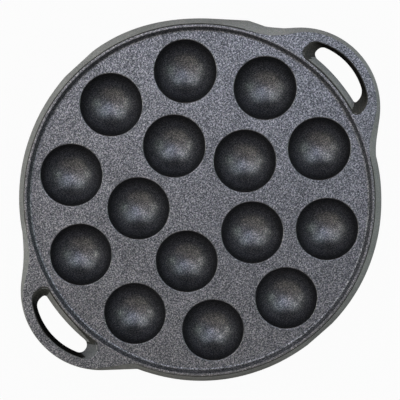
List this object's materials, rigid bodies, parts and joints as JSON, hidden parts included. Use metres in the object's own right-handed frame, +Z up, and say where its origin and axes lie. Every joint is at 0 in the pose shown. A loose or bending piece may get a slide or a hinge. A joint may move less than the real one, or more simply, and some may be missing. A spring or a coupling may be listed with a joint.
{
  "type": "takoyaki pan",
  "caption": "Round cast iron pan with hemispherical wells sunk in a flat deck, a raised rim and loop handles flush with the rim.",
  "frame": {"origin": "on the hob surface, under the centre of the pan", "axes": "+X along the two handles, towards the one with the gate stub beside its root; +Z up"},
  "size_m": [0.289, 0.2438, 0.028],
  "materials": {
    "cast_iron": "seasoned sand casting, finely grained and dark grey"
  },
  "bodies": {
    "root": {"cooking_deck": "cast_iron", "rim_ring": "cast_iron", "handle_right": "cast_iron", "handle_left": "cast_iron", "outer_well_01": "cast_iron", "outer_well_02": "cast_iron", "outer_well_03": "cast_iron", "outer_well_04": "cast_iron", "outer_well_05": "cast_iron", "outer_well_06": "cast_iron", "outer_well_07": "cast_iron", "outer_well_08": "cast_iron", "outer_well_09": "cast_iron", "outer_well_10": "cast_iron", "inner_well_01": "cast_iron", "inner_well_02": "cast_iron", "inner_well_03": "cast_iron", "inner_well_04": "cast_iron", "inner_well_05": "cast_iron"}
  },
  "joints": []
}
